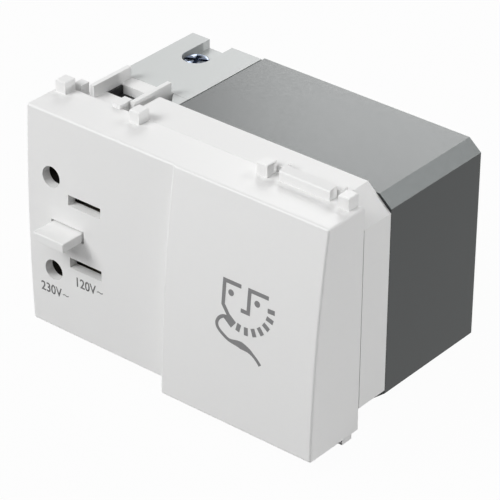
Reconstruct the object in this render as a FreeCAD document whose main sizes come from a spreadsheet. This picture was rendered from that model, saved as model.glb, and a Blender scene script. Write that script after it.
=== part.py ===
import FreeCAD, Part
import math
import os
import Sketcher

# A flush-mounted shaver socket, three modules wide, with an isolating transformer.
# Millimetres. X runs to the right along the front, Y to the rear, Z up.
# The origin is the middle of the cover on the plane of its lugs' rear faces, where it seats
# against the support: the room is at -Y and the wall box at +Y.

SIZES = {
    # front cover
    "cover_width": 67.0,
    "cover_height": 44.0,
    "cover_wall": 1.6,
    "front_wall": 1.8,
    "edge_round": 0.5,
    "side_round": 0.4,
    "step_round": 0.45,
    "left_field_width": 33.7,
    "left_crown_depth": 9.65,
    "left_bow_radius": 420.0,
    "right_crown_depth": 13.02,
    "right_crown_drop": 24.8,
    "right_bow_radius": 295.0,
    # lugs and stop bars on the cover's top and bottom
    "left_lug_inset": 2.1,
    "right_lug_inset": 2.4,
    "lug_spacing": 17.1,
    "lug_width": 2.25,
    "lug_depth": 2.6,
    "lug_height": 2.35,
    "lug_bevel": 0.15,
    "bar_length": 10.7,
    "bar_depth": 2.0,
    "bar_front_height": 1.9,
    "bar_rear_height": 2.15,
    "bar_shift": 0.1,
    "bar_round": 0.4,
    # outlet openings
    "pin_spacing": 19.0,
    "pin_inset": 5.75,
    "pin_hole_radius": 2.05,
    "blade_spacing": 12.7,
    "blade_inset": 13.5,
    "blade_slot_length": 7.5,
    "blade_slot_height": 2.1,
    # plunger that the plug presses
    "plunger_shift": 0.225,
    "plunger_width": 7.1,
    "plunger_height": 1.8,
    "slab_drop": 0.1,
    "plunger_reach": 5.0,
    "plunger_play": 0.3,
    "slab_round": 0.22,
    "plunger_travel": 4.8,
    "collar_width": 8.8,
    "collar_height": 3.4,
    "collar_depth": 1.5,
    "collar_gap": 0.1,
    "stem_radius": 1.2,
    "stem_play": 0.08,
    "tip_radius": 0.75,
    "tip_head_radius": 1.15,
    "tip_head_depth": 0.5,
    "spring_radius": 1.7,
    "spring_wire": 0.4,
    "spring_turns": 5.0,
    "bridge_width": 8.4,
    "bridge_height": 2.6,
    "bridge_depth": 0.5,
    # frame behind the cover
    "seam": 0.05,
    "frame_side_inset": 0.1,
    "frame_depth": 7.45,
    "frame_inset": 16.2,
    "frame_bevel_width": 4.9,
    "frame_bevel_height": 4.4,
    "frame_wall": 3.1,
    "frame_plate": 2.0,
    "waist_wall": 1.2,
    "waist_roof": 1.7,
    "waist_rear_wall": 1.5,
    "head_inset": 5.0,
    "head_width": 10.3,
    "head_drop": 1.5,
    "head_plate": 1.6,
    "head_rear": 12.05,
    "foot_inset": 2.0,
    "foot_depth": 2.9,
    "rib_width": 0.9,
    "rib_rise": 2.35,
    "rib_start": 1.85,
    "rib_end": 11.65,
    "window_start": 5.05,
    "window_length": 3.9,
    "tongue_length": 3.0,
    "tongue_thickness": 1.4,
    "tongue_gap": 0.1,
    "hook_width": 1.8,
    "hook_lift": 0.05,
    "latch_hook_rise": 0.75,
    "outer_hook_inset": 2.25,
    "outer_hook_start": 0.75,
    "outer_hook_end": 2.65,
    "inner_hook_inset": 12.3,
    "inner_hook_reach": 0.5,
    "inner_hook_end": 2.75,
    "frame_hook_rise": 1.25,
    "frame_hook_start": 0.2,
    "frame_hook_end": 2.05,
    "far_frame_hook": 18.9,
    "near_frame_hook": 6.9,
    "side_groove_width": 0.3,
    "side_groove_depth": 0.8,
    # transformer case
    "case_inset": 19.0,
    "case_drop": 1.55,
    "case_rear": 33.0,
    "case_wall": 1.5,
    "case_bevel_width": 2.55,
    "case_bevel_height": 2.15,
    "joint_gap": 0.1,
    "post_side": 5.0,
    "rail_reach": 6.0,
    "lead_window": 8.0,
    # terminal housing
    "housing_inset": 2.65,
    "housing_rise": 0.1,
    "housing_setback": 0.75,
    "housing_wall": 1.5,
    "housing_rear_wall": 2.0,
    "channel_shift": 1.425,
    "channel_width": 5.3,
    "channel_length": 6.85,
    "channel_depth": 1.8,
    "wire_hole_radius": 2.0,
    "clamp_width": 6.0,
    "clamp_depth": 6.5,
    "clamp_height": 6.4,
    "clamp_bore_radius": 1.9,
    "screw_head_radius": 2.4,
    "screw_head_height": 1.5,
    "screw_lift": 1.35,
    "wire_drop": 0.25,
    "screw_radius": 1.45,
    "screw_play": 0.05,
    "screw_slot_width": 0.8,
    "screw_slot_depth": 0.7,
    # contacts
    "block_rim": 0.8,
    "block_roof": 1.55,
    "catch_width": 0.45,
    "block_front_gap": 0.35,
    "block_rear_gap": 0.1,
    "block_play": 0.1,
    "metal": 0.5,
    "sleeve_setback": 2.0,
    "blade_setback": 1.2,
    "sleeve_length": 6.4,
    "sleeve_slit": 0.5,
    "blade_gap": 1.6,
    "leaf_width": 6.6,
    "leaf_length": 12.0,
    "tail_width": 2.5,
    "contact_play": 0.15,
    "rivet_head_radius": 1.2,
    "rivet_head_depth": 0.6,
    "rivet_radius": 0.7,
    "rivet_spacing": 5.6,
    "tail_reach": 1.2,
    # transformer
    "rail_depth": 1.45,
    "core_gap": 0.1,
    "bobbin_wall": 0.8,
    "bobbin_flange": 0.9,
    "bobbin_play": 0.15,
    "coil_gap": 0.6,
    "winding_round": 2.0,
    "tape": 0.3,
    "winding_play": 0.05,
    "cutout_width": 2.4,
    "cutout_depth": 8.0,
    "cutout_height": 6.0,
    "cutout_gap": 0.65,
}

doc = FreeCAD.newDocument("shaver_socket")
sheet = doc.addObject("Spreadsheet::Sheet", "Sizes")
for row, (alias, number) in enumerate(SIZES.items(), start=1):
    sheet.set(f"A{row}", alias)
    sheet.set(f"B{row}", str(number))
    sheet.setAlias(f"B{row}", alias)
doc.recompute()


class Size:
    """A size of the sheet, or a formula of such sizes, with its present value."""

    def __init__(self, formula, number):
        self.formula = formula
        self.number = number

    def __add__(self, other):
        other = as_size(other)
        return Size(f"({self.formula} + {other.formula})", self.number + other.number)

    def __sub__(self, other):
        other = as_size(other)
        return Size(f"({self.formula} - {other.formula})", self.number - other.number)

    def __mul__(self, factor):
        return Size(f"({self.formula} * {factor})", self.number * factor)

    def __truediv__(self, divisor):
        return Size(f"({self.formula} / {divisor})", self.number / divisor)

    def __neg__(self):
        return Size(f"(-{self.formula})", -self.number)


def as_size(amount):
    """A plain number as a size."""
    if isinstance(amount, Size):
        return amount
    return Size(f"({amount} * 1)", float(amount))


class Named:
    """The sheet's sizes as attributes."""

    def __init__(self, sizes):
        for name, number in sizes.items():
            setattr(self, name, Size("Sizes." + name, float(number)))


S = Named(SIZES)
ZERO = as_size(0)
ALONG = {"X": "YZ_Plane", "Y": "XZ_Plane", "Z": "XY_Plane"}
OVERLAP = 0.4
NEAR = 1e-5
nodes = []


def bind(thing, prop, size):
    """Tie a property to the sheet."""
    thing.setExpression(prop, as_size(size).formula)


def node(thing, label):
    """Name a finished piece and put it on the list of pieces."""
    thing.Label = label
    nodes.append(thing)
    return thing


# Sketched bodies

def new_body(name):
    """An empty body for one moulded or stamped piece."""
    return doc.addObject("PartDesign::Body", name + "_body")


def origin_plane(body, role):
    """One of a body's own origin planes."""
    return next(plane for plane in body.Origin.OriginFeatures if plane.Role == role)


def new_sketch(body, name, axis, start):
    """A sketch square to an axis, at a place on that axis."""
    sketch = body.newObject("Sketcher::SketchObject", name)
    sketch.AttachmentSupport = (origin_plane(body, ALONG[axis]), [""])
    sketch.MapMode = "FlatFace"
    bind(sketch, "AttachmentOffset.Base.z", -start if axis == "Y" else start)
    return sketch


def hold(sketch, kind, geometry, point, size):
    """A distance of a sketch point from the origin, tied to the sheet."""
    size = as_size(size)
    number = sketch.addConstraint(Sketcher.Constraint(kind, -1, 1, geometry, point, size.number))
    sketch.setExpression(f"Constraints[{number}]", size.formula)


def hold_radius(sketch, geometry, size):
    """A radius in a sketch, tied to the sheet."""
    number = sketch.addConstraint(Sketcher.Constraint("Radius", geometry, size.number))
    sketch.setExpression(f"Constraints[{number}]", size.formula)


def polygon(corners):
    """A drawing step: a closed loop of straight runs."""
    corners = [(as_size(across), as_size(up)) for across, up in corners]

    def draw(sketch):
        first = sketch.GeometryCount
        points = [FreeCAD.Vector(across.number, up.number, 0) for across, up in corners]
        for start, end in zip(points, points[1:] + points[:1]):
            sketch.addGeometry(Part.LineSegment(start, end))
        for index, (across, up) in enumerate(corners):
            following = first + (index + 1) % len(corners)
            sketch.addConstraint(Sketcher.Constraint("Coincident", first + index, 2, following, 1))
            hold(sketch, "DistanceX", first + index, 1, across)
            hold(sketch, "DistanceY", first + index, 1, up)
    return draw


def rectangle(low, high):
    """A drawing step: a rectangle between two corners."""
    return polygon([low, (high[0], low[1]), high, (low[0], high[1])])


def circle(centre, radius):
    """A drawing step: a circle."""
    def draw(sketch):
        across, up = as_size(centre[0]), as_size(centre[1])
        place = FreeCAD.Vector(across.number, up.number, 0)
        index = sketch.addGeometry(Part.Circle(place, FreeCAD.Vector(0, 0, 1), radius.number))
        hold(sketch, "DistanceX", index, 3, across)
        hold(sketch, "DistanceY", index, 3, up)
        hold_radius(sketch, index, radius)
    return draw


def round_channel(centre, radius, mouth):
    """A drawing step: a channel with a round end, open towards larger second coordinate."""
    def draw(sketch):
        across, end = centre
        left, right = across - radius, across + radius
        place = FreeCAD.Vector(across.number, end.number, 0)
        ring = Part.Circle(place, FreeCAD.Vector(0, 0, 1), radius.number)
        corners = [FreeCAD.Vector(side.number, level.number, 0)
                   for side, level in ((right, end), (right, mouth), (left, mouth), (left, end))]
        for start, finish in zip(corners, corners[1:]):
            sketch.addGeometry(Part.LineSegment(start, finish))
        arc = sketch.addGeometry(Part.ArcOfCircle(ring, math.pi, 2 * math.pi))
        for index in range(2):
            sketch.addConstraint(Sketcher.Constraint("Coincident", index, 2, index + 1, 1))
        sketch.addConstraint(Sketcher.Constraint("Coincident", 2, 2, arc, 1))
        sketch.addConstraint(Sketcher.Constraint("Coincident", arc, 2, 0, 1))
        for index, (side, level) in enumerate(((right, end), (right, mouth), (left, mouth))):
            hold(sketch, "DistanceX", index, 1, side)
            hold(sketch, "DistanceY", index, 1, level)
        hold(sketch, "DistanceX", 2, 2, left)
        hold(sketch, "DistanceY", 2, 2, end)
        hold(sketch, "DistanceY", arc, 3, end)
    return draw


def bowed_outline(crown, crown_level, bow, half_height, rear, corner):
    """A drawing step: a section with a bowed front, rounded at its top and bottom corners."""
    def draw(sketch):
        centre = crown + bow
        axis = FreeCAD.Vector(0, 0, 1)
        hub = FreeCAD.Vector(centre.number, crown_level.number, 0)

        def corner_centre(level):
            rise = level - crown_level.number
            reach = math.sqrt((bow.number - corner.number) ** 2 - rise ** 2)
            return FreeCAD.Vector(centre.number - reach, level, 0)

        high = corner_centre(half_height.number - corner.number)
        low = corner_centre(corner.number - half_height.number)
        bow_high = math.atan2(high.y - hub.y, high.x - hub.x)
        bow_low = math.atan2(low.y - hub.y, low.x - hub.x) + 2 * math.pi
        top_rear = FreeCAD.Vector(rear.number, half_height.number, 0)
        low_rear = FreeCAD.Vector(rear.number, -half_height.number, 0)
        lift = FreeCAD.Vector(0, corner.number, 0)
        top = sketch.addGeometry(Part.LineSegment(top_rear, high + lift))
        top_round = sketch.addGeometry(
            Part.ArcOfCircle(Part.Circle(high, axis, corner.number), math.pi / 2, bow_high))
        front = sketch.addGeometry(
            Part.ArcOfCircle(Part.Circle(hub, axis, bow.number), bow_high, bow_low))
        low_round = sketch.addGeometry(
            Part.ArcOfCircle(Part.Circle(low, axis, corner.number), bow_low, 1.5 * math.pi))
        base = sketch.addGeometry(Part.LineSegment(low - lift, low_rear))
        back = sketch.addGeometry(Part.LineSegment(low_rear, top_rear))
        ring = (top, top_round, front, low_round, base)
        for before, after in zip(ring, ring[1:]):
            sketch.addConstraint(Sketcher.Constraint("Tangent", before, 2, after, 1))
        sketch.addConstraint(Sketcher.Constraint("Coincident", base, 2, back, 1))
        sketch.addConstraint(Sketcher.Constraint("Coincident", back, 2, top, 1))
        for line in (top, base):
            sketch.addConstraint(Sketcher.Constraint("Horizontal", line))
        sketch.addConstraint(Sketcher.Constraint("Vertical", back))
        hold(sketch, "DistanceX", top, 1, rear)
        hold(sketch, "DistanceY", top, 1, half_height)
        hold(sketch, "DistanceY", base, 2, -half_height)
        hold(sketch, "DistanceX", front, 3, centre)
        hold(sketch, "DistanceY", front, 3, crown_level)
        hold_radius(sketch, front, bow)
        hold_radius(sketch, top_round, corner)
        hold_radius(sketch, low_round, corner)
    return draw


def extrude(body, name, axis, start, end, *steps, cut=False):
    """Pad a sketch, or cut with it, from start to end along an axis."""
    start, end = as_size(start), as_size(end)
    sketch = new_sketch(body, name + "_sketch", axis, start)
    for step in steps:
        step(sketch)
    feature = body.newObject("PartDesign::Pocket" if cut else "PartDesign::Pad", name)
    feature.Profile = sketch
    feature.Reversed = (axis != "Y") if cut else (axis == "Y")
    bind(feature, "Length", end - start)
    sketch.Visibility = False
    body.Tip = feature
    return feature


def mirror(body, name, features):
    """Repeat features of a body below the middle plane."""
    copy = body.newObject("PartDesign::Mirrored", name)
    copy.Originals = features
    copy.MirrorPlane = (origin_plane(body, ALONG["Z"]), [""])
    body.Tip = copy
    return copy


def same(number, size):
    """Whether a measured number is a size."""
    return abs(number - size.number) < NEAR


def dress_edges(body, name, kind, prop, size, wanted):
    """Round or bevel the edges of a body that a test picks out."""
    doc.recompute()
    base = body.Tip
    names = [f"Edge{index}" for index, edge in enumerate(base.Shape.Edges, start=1) if wanted(edge)]
    feature = body.newObject(kind, name)
    feature.Base = (base, names)
    bind(feature, prop, size)
    body.Tip = feature
    return feature


def round_edges(body, name, radius, wanted):
    """Fillet the edges of a body that a test picks out."""
    return dress_edges(body, name, "PartDesign::Fillet", "Radius", radius, wanted)


def bevel_edges(body, name, width, wanted):
    """Chamfer the edges of a body that a test picks out."""
    return dress_edges(body, name, "PartDesign::Chamfer", "Size", width, wanted)


# Plain solids

UPRIGHT = {"X": FreeCAD.Rotation(FreeCAD.Vector(0, 1, 0), 90),
           "Y": FreeCAD.Rotation(FreeCAD.Vector(1, 0, 0), -90),
           "Z": FreeCAD.Rotation()}


def place(thing, corner, axis="Z"):
    """Put a solid at a point, with its own height along an axis."""
    thing.Placement = FreeCAD.Placement(FreeCAD.Vector(), UPRIGHT[axis])
    for letter, size in zip("xyz", corner):
        bind(thing, "Placement.Base." + letter, size)


def box(name, low, high):
    """A block between two corners."""
    thing = doc.addObject("Part::Box", name)
    for prop, start, end in zip(("Length", "Width", "Height"), low, high):
        bind(thing, prop, as_size(end) - start)
    place(thing, low)
    return thing


def rod(name, axis, start, radius, length):
    """A cylinder from a point along an axis."""
    thing = doc.addObject("Part::Cylinder", name)
    bind(thing, "Radius", radius)
    bind(thing, "Height", length)
    place(thing, start, axis)
    return thing


def fused(name, *parts):
    """One solid from several that overlap."""
    thing = doc.addObject("Part::MultiFuse", name)
    thing.Shapes = list(parts)
    thing.Refine = True
    return thing


def trimmed(name, base, *tools):
    """A solid with others cut out of it."""
    thing = doc.addObject("Part::Cut", name)
    thing.Base = base
    thing.Tool = tools[0] if len(tools) == 1 else fused(name + "_tools", *tools)
    thing.Refine = True
    return thing


def rounded_block(name, low, high, radius):
    """A block with its four upright edges rounded."""
    block = box(name + "_block", low, high)
    doc.recompute()
    upright = [index for index, edge in enumerate(block.Shape.Edges, start=1)
               if abs(edge.tangentAt(edge.FirstParameter).z) > 0.9]
    thing = doc.addObject("Part::Fillet", name)
    thing.Base = block
    thing.Edges = [(index, radius.number, radius.number) for index in upright]
    return thing


# Places that several pieces share

half_width = S.cover_width / 2
half_height = S.cover_height / 2
step = S.left_field_width - half_width
left_module = half_width - S.left_lug_inset - S.lug_spacing / 2
right_module = half_width - S.right_lug_inset - S.lug_spacing / 2
pin_column = half_width - S.pin_inset
blade_column = half_width - S.blade_inset
plunger_column = (pin_column + blade_column) / 2 + S.plunger_shift
frame_left = half_width - S.frame_inset
head_left = half_width - S.head_inset
head_right = head_left - S.head_width
head_top = half_height - S.head_drop
window_left = S.rib_width - head_left
window_right = -head_right - S.rib_width
window_end = S.window_start + S.window_length
foot_left = half_width - S.foot_inset
case_left = half_width - S.case_inset
housing_left = half_width - S.housing_inset
housing_rear = S.case_rear - S.housing_setback
channel_column = (housing_left + case_left + S.joint_gap) / 2 + S.channel_shift
channel_end = housing_rear - S.channel_length
left_inner = -S.left_crown_depth + S.front_wall
frame_front = S.seam
frame_rear = S.seam + S.frame_depth
frame_right = half_width - S.frame_side_inset
case_front = frame_rear + S.joint_gap
case_half = half_height - S.case_drop
housing_half = case_half + S.housing_rise
case_inner_left = S.case_wall - case_left
case_inner_right = frame_right - S.case_wall
case_inner_rear = S.case_rear - S.case_wall
case_inner_half = case_half - S.case_wall
block_front = left_inner + S.block_front_gap
block_rear = S.head_rear - S.waist_rear_wall - S.block_rear_gap
pin_level = S.pin_spacing / 2
blade_level = S.blade_spacing / 2
sleeve_radius = S.pin_hole_radius + S.metal
block_left = -pin_column - sleeve_radius - S.block_rim
block_right = S.leaf_width / 2 - blade_column + S.block_rim
block_half = pin_level + sleeve_radius + S.block_roof
waist_left = block_left - S.block_play - S.waist_wall
waist_right = block_right + S.block_play + S.waist_wall
waist_half = block_half + S.block_play + S.waist_roof
sleeve_front = block_front + S.sleeve_setback
sleeve_rear = sleeve_front + S.sleeve_length
blade_left = -blade_column - S.leaf_width / 2
blade_right = -blade_column + S.leaf_width / 2
blade_front = block_front + S.blade_setback
blade_rear = blade_front + S.leaf_length
tail_end = S.head_rear + S.tail_reach
collar_front = left_inner + S.collar_gap
collar_rear = collar_front + S.collar_depth
spring_gap = S.contact_play
spring_length = S.plunger_travel + S.spring_wire * 6
spring_seat = collar_rear + spring_gap + spring_length
rivet_face = block_rear + S.block_rear_gap - S.rivet_head_depth
bridge_rear = rivet_face - S.plunger_travel - S.collar_gap
bridge_front = bridge_rear - S.bridge_depth
core_middle = (case_inner_left + case_inner_right) / 2
core_leg = (case_inner_right - case_inner_left - S.rail_depth * 2) / 6
core_half = core_leg * 3
core_top = case_inner_half - S.rail_depth
window_half = core_top - core_leg
former_build = S.bobbin_play + S.bobbin_wall
winding_build = core_leg - former_build - S.winding_play * 2 - S.tape - S.cutout_width - S.cutout_gap
coil_build = S.winding_play + winding_build + S.tape
stack_middle = (frame_rear + case_inner_rear) / 2
core_stack = case_inner_rear - frame_rear - (former_build + coil_build + S.coil_gap) * 2
core_front = stack_middle - core_stack / 2
core_rear = stack_middle + core_stack / 2


def front_cover():
    """White cover: a flat-bowed socket field and a field that leans forward to its foot."""
    body = new_body("front_cover")
    left_drop, right_drop = ZERO, -S.right_crown_drop
    left_crown, right_crown = -S.left_crown_depth, -S.right_crown_depth
    extrude(body, "leaning_field", "X", step, half_width,
            bowed_outline(right_crown, right_drop, S.right_bow_radius, half_height, ZERO, S.edge_round))

    def step_side(edge):
        bounds = edge.BoundBox
        return bounds.XLength < NEAR and same(bounds.XMin, step) and bounds.YMin < -NEAR

    round_edges(body, "step_rounding", S.step_round, step_side)
    extrude(body, "socket_field", "X", -half_width, step + S.cover_wall,
            bowed_outline(left_crown, left_drop, S.left_bow_radius, half_height, ZERO, S.edge_round))

    def outer_side(edge):
        bounds = edge.BoundBox
        return bounds.XLength < NEAR and same(abs(bounds.XMin), half_width) and bounds.YMin < -NEAR

    round_edges(body, "side_rounding", S.side_round, outer_side)
    wall, skin = S.cover_wall, S.front_wall
    inner_half = half_height - wall
    left_bow, right_bow = S.left_bow_radius - skin, S.right_bow_radius - skin
    extrude(body, "socket_hollow", "X", wall - half_width, step + wall,
            bowed_outline(left_crown + skin, left_drop, left_bow, inner_half, ZERO, S.edge_round),
            cut=True)
    extrude(body, "leaning_hollow", "X", step + wall, half_width - wall,
            bowed_outline(right_crown + skin, right_drop, right_bow, inner_half, ZERO, S.edge_round),
            cut=True)
    half_slot = S.blade_slot_length / 2
    half_blade = S.blade_slot_height / 2
    half_plunger = S.plunger_width / 2 + S.plunger_play
    half_slab = S.plunger_height / 2 + S.plunger_play
    openings = [circle((-pin_column, pin_level), S.pin_hole_radius),
                circle((-pin_column, -pin_level), S.pin_hole_radius),
                rectangle((-plunger_column - half_plunger, -half_slab - S.slab_drop),
                          (half_plunger - plunger_column, half_slab - S.slab_drop))]
    for level in (blade_level, -blade_level):
        openings.append(rectangle((-blade_column - half_slot, level - half_blade),
                                  (half_slot - blade_column, level + half_blade)))
    extrude(body, "outlet_openings", "Y", left_crown - skin, left_inner + skin, *openings, cut=True)
    lugs = []
    for module in (-left_module, right_module):
        for side in (-S.lug_spacing / 2, S.lug_spacing / 2):
            middle = module + side
            lugs.append(rectangle((middle - S.lug_width / 2, -S.lug_depth), (middle + S.lug_width / 2, ZERO)))
    base, lug_top = half_height - OVERLAP, half_height + S.lug_height
    lug_feature = extrude(body, "lugs", "Z", base, lug_top, *lugs)
    bar_middle = right_module - S.bar_shift
    bar_feature = extrude(
        body, "stop_bar", "X", bar_middle - S.bar_length / 2, bar_middle + S.bar_length / 2,
        polygon([(-S.bar_depth, base), (-S.bar_depth, half_height + S.bar_front_height),
                 (ZERO, half_height + S.bar_rear_height), (ZERO, base)]))
    mirror(body, "lower_lugs", [lug_feature, bar_feature])

    def bar_front(edge):
        bounds = edge.BoundBox
        foremost = same(bounds.YMax, -S.bar_depth) and same(bounds.XLength, S.bar_length)
        return foremost and same(abs(bounds.ZMin), half_height + S.bar_front_height)

    def lug_rim(edge):
        bounds = edge.BoundBox
        return bounds.ZLength < NEAR and same(abs(bounds.ZMin), lug_top)

    round_edges(body, "bar_rounding", S.bar_round, bar_front)
    bevel_edges(body, "lug_bevels", S.lug_bevel, lug_rim)
    return node(body, "front_cover")


def bevelled(left, right, half, bevel_width, bevel_height):
    """A drawing step: a block's outline with both right corners bevelled."""
    return polygon([(left, -half), (right - bevel_width, -half), (right, bevel_height - half),
                    (right, half - bevel_height), (right - bevel_width, half), (left, half)])


def mid_frame():
    """White frame between cover and case, with the latch head and the room for the contacts."""
    body = new_body("mid_frame")
    extrude(body, "frame_block", "Y", frame_front, frame_rear,
            bevelled(-frame_left, frame_right, half_height, S.frame_bevel_width, S.frame_bevel_height))
    extrude(body, "waist", "Y", frame_front, S.head_rear,
            rectangle((waist_left, -waist_half), (waist_right, waist_half)))
    head_base = waist_half - OVERLAP
    head = extrude(body, "latch_head", "Y", frame_front, S.head_rear,
                   rectangle((-head_left, head_base), (-head_right, head_top)))
    foot = extrude(body, "latch_foot", "Y", frame_front, S.foot_depth,
                   rectangle((-foot_left, head_base), (-head_right - OVERLAP, head_top)))
    rib_top = head_top + S.rib_rise
    ribs = extrude(body, "latch_ribs", "Z", head_top - OVERLAP, rib_top,
                   rectangle((-head_left, S.rib_start), (window_left, S.rib_end)),
                   rectangle((window_right, S.rib_start), (-head_right, S.rib_end)))
    hook_top = half_height + S.latch_hook_rise
    outer_hook = S.outer_hook_inset - half_width
    outer = extrude(body, "outer_latch_hook", "X", outer_hook, outer_hook + S.hook_width,
                    rectangle((S.outer_hook_start, head_top - OVERLAP), (S.outer_hook_end, hook_top)))
    inner_hook = S.inner_hook_inset - half_width
    lip_base = half_height + S.hook_lift
    inner = extrude(body, "inner_latch_hook", "X", inner_hook, inner_hook + S.hook_width,
                    polygon([(frame_front, head_top - OVERLAP), (frame_front, lip_base),
                             (-S.inner_hook_reach, lip_base), (-S.inner_hook_reach, hook_top),
                             (S.inner_hook_end, hook_top), (S.inner_hook_end, head_top - OVERLAP)]))
    hook_places = (half_width - S.far_frame_hook, half_width - S.near_frame_hook)
    frame_hooks = extrude(
        body, "frame_hooks", "Z", half_height - OVERLAP, half_height + S.frame_hook_rise,
        *[rectangle((left, S.frame_hook_start), (left + S.hook_width, S.frame_hook_end))
          for left in hook_places])
    window = extrude(body, "latch_window", "Z", head_top - S.head_plate, rib_top,
                     rectangle((window_left, S.window_start), (window_right, window_end)), cut=True)
    shoulder_way = extrude(body, "shoulder_way", "Y", frame_front, window_end,
                           rectangle((window_left, block_half), (window_right, head_top - S.head_plate)),
                           cut=True)
    inner_top = half_height - S.cover_wall - S.tongue_gap
    tongue = extrude(body, "cover_tongue", "Y", -S.tongue_length, frame_front + OVERLAP,
                     rectangle((-head_left, inner_top - S.tongue_thickness),
                               (frame_right - S.frame_bevel_width, inner_top)))
    mouth_top = case_inner_half - S.tongue_gap
    lip = extrude(body, "case_tongue", "Y", frame_rear - OVERLAP, frame_rear + S.tongue_length,
                  rectangle((case_inner_left + S.post_side, mouth_top - S.tongue_thickness),
                            (case_inner_right - S.post_side, mouth_top)))
    posts = extrude(
        body, "core_posts", "Y", frame_rear - OVERLAP, core_front - S.core_gap,
        *[rectangle((left, core_top - S.post_side), (left + S.post_side, core_top))
          for left in (core_middle - core_half, core_middle + core_half - S.post_side)])
    mirror(body, "lower_half",
           [head, foot, ribs, outer, inner, frame_hooks, window, shoulder_way, tongue, lip, posts])
    extrude(body, "frame_hollow", "Y", frame_front, frame_rear - S.frame_plate,
            bevelled(waist_right + S.waist_wall, frame_right - S.frame_wall, half_height - S.frame_wall,
                     S.frame_bevel_width, S.frame_bevel_height), cut=True)
    extrude(body, "contact_room", "Y", frame_front, S.head_rear - S.waist_rear_wall,
            rectangle((block_left - S.block_play, -block_half - S.block_play),
                      (block_right + S.block_play, block_half + S.block_play)), cut=True)
    groove_half = half_height - S.frame_bevel_height
    extrude(body, "side_groove", "Z", -groove_half, groove_half,
            rectangle((frame_right - S.side_groove_depth, frame_front),
                      (frame_right, frame_front + S.side_groove_width)), cut=True)
    half_tail = S.tail_width / 2 + S.contact_play
    half_strip = S.metal / 2 + S.contact_play
    passages = []
    for side in (1, -1):
        tail_level = (pin_level + sleeve_radius - S.metal / 2) * side
        for column, level in ((pin_column, tail_level), (blade_column, blade_level * side)):
            passages.append(rectangle((-column - half_tail, level - half_strip),
                                      (half_tail - column, level + half_strip)))
        rivet_column = S.rivet_spacing / 2 * side - plunger_column
        passages.append(circle((rivet_column, ZERO), S.rivet_radius + S.screw_play))
    extrude(body, "contact_passages", "Y", S.head_rear - S.waist_rear_wall, S.head_rear, *passages, cut=True)
    return node(body, "mid_frame")


def transformer_case():
    """Dark case, open to the front, with rails and posts that hold the core."""
    body = new_body("transformer_case")
    wall = S.case_wall
    extrude(body, "case_block", "Y", case_front, S.case_rear,
            bevelled(-case_left, frame_right, case_half, S.case_bevel_width, S.case_bevel_height))
    extrude(body, "case_hollow", "Y", case_front, case_inner_rear,
            bevelled(case_inner_left, case_inner_right, case_inner_half,
                     S.case_bevel_width, S.case_bevel_height), cut=True)
    core_left, core_right = core_middle - core_half, core_middle + core_half
    posts = extrude(
        body, "case_posts", "Y", core_rear + S.core_gap, case_inner_rear + OVERLAP,
        *[rectangle((left, core_top - S.post_side), (left + S.post_side, core_top))
          for left in (core_left, core_right - S.post_side)])
    rail_low = window_half - S.rail_reach / 2
    rails = extrude(
        body, "case_rails", "Y", core_front, case_inner_rear + OVERLAP,
        rectangle((case_inner_left - OVERLAP, rail_low), (core_left - S.core_gap, rail_low + S.rail_reach)),
        rectangle((core_right + S.core_gap, rail_low), (case_inner_right + OVERLAP, rail_low + S.rail_reach)))
    mirror(body, "case_lower_half", [posts, rails])
    half_window = S.lead_window / 2
    extrude(body, "case_lead_window", "X", -case_left, case_inner_left,
            rectangle((core_front, -half_window), (core_front + S.lead_window, half_window)), cut=True)
    return node(body, "transformer_case")


def terminal_housing():
    """Light housing behind the outlet, with a screw channel above and below."""
    body = new_body("terminal_housing")
    right = -case_left - S.joint_gap
    roof = housing_half - S.channel_depth
    extrude(body, "housing_block", "Y", S.head_rear, housing_rear,
            rectangle((-housing_left, -housing_half), (right, housing_half)))
    extrude(body, "housing_hollow", "Y", S.head_rear, housing_rear - S.housing_rear_wall,
            rectangle((S.housing_wall - housing_left, S.housing_wall - roof),
                      (right - S.housing_wall, roof - S.housing_wall)), cut=True)
    centre = (-channel_column, channel_end)
    channel = extrude(body, "screw_channel", "Z", roof, housing_half,
                      round_channel(centre, S.channel_width / 2, housing_rear), cut=True)
    well = extrude(body, "screw_well", "Z", roof - S.housing_wall, roof,
                   circle(centre, S.screw_head_radius + S.screw_play), cut=True)
    mirror(body, "lower_channel", [channel, well])
    extrude(body, "wire_holes", "Y", housing_rear - S.housing_rear_wall, housing_rear,
            *[circle((-channel_column, wire_level * side), S.wire_hole_radius) for side in (1, -1)], cut=True)
    half_window = S.lead_window / 2
    extrude(body, "housing_lead_window", "X", right - S.housing_wall, right,
            rectangle((core_front, -half_window), (core_front + S.lead_window, half_window)), cut=True)
    return node(body, "terminal_housing")


clamp_top = housing_half - S.channel_depth - S.housing_wall - S.joint_gap
clamp_base = clamp_top - S.clamp_height
wire_level = clamp_base + S.clamp_height / 2 - S.wire_drop


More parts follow.
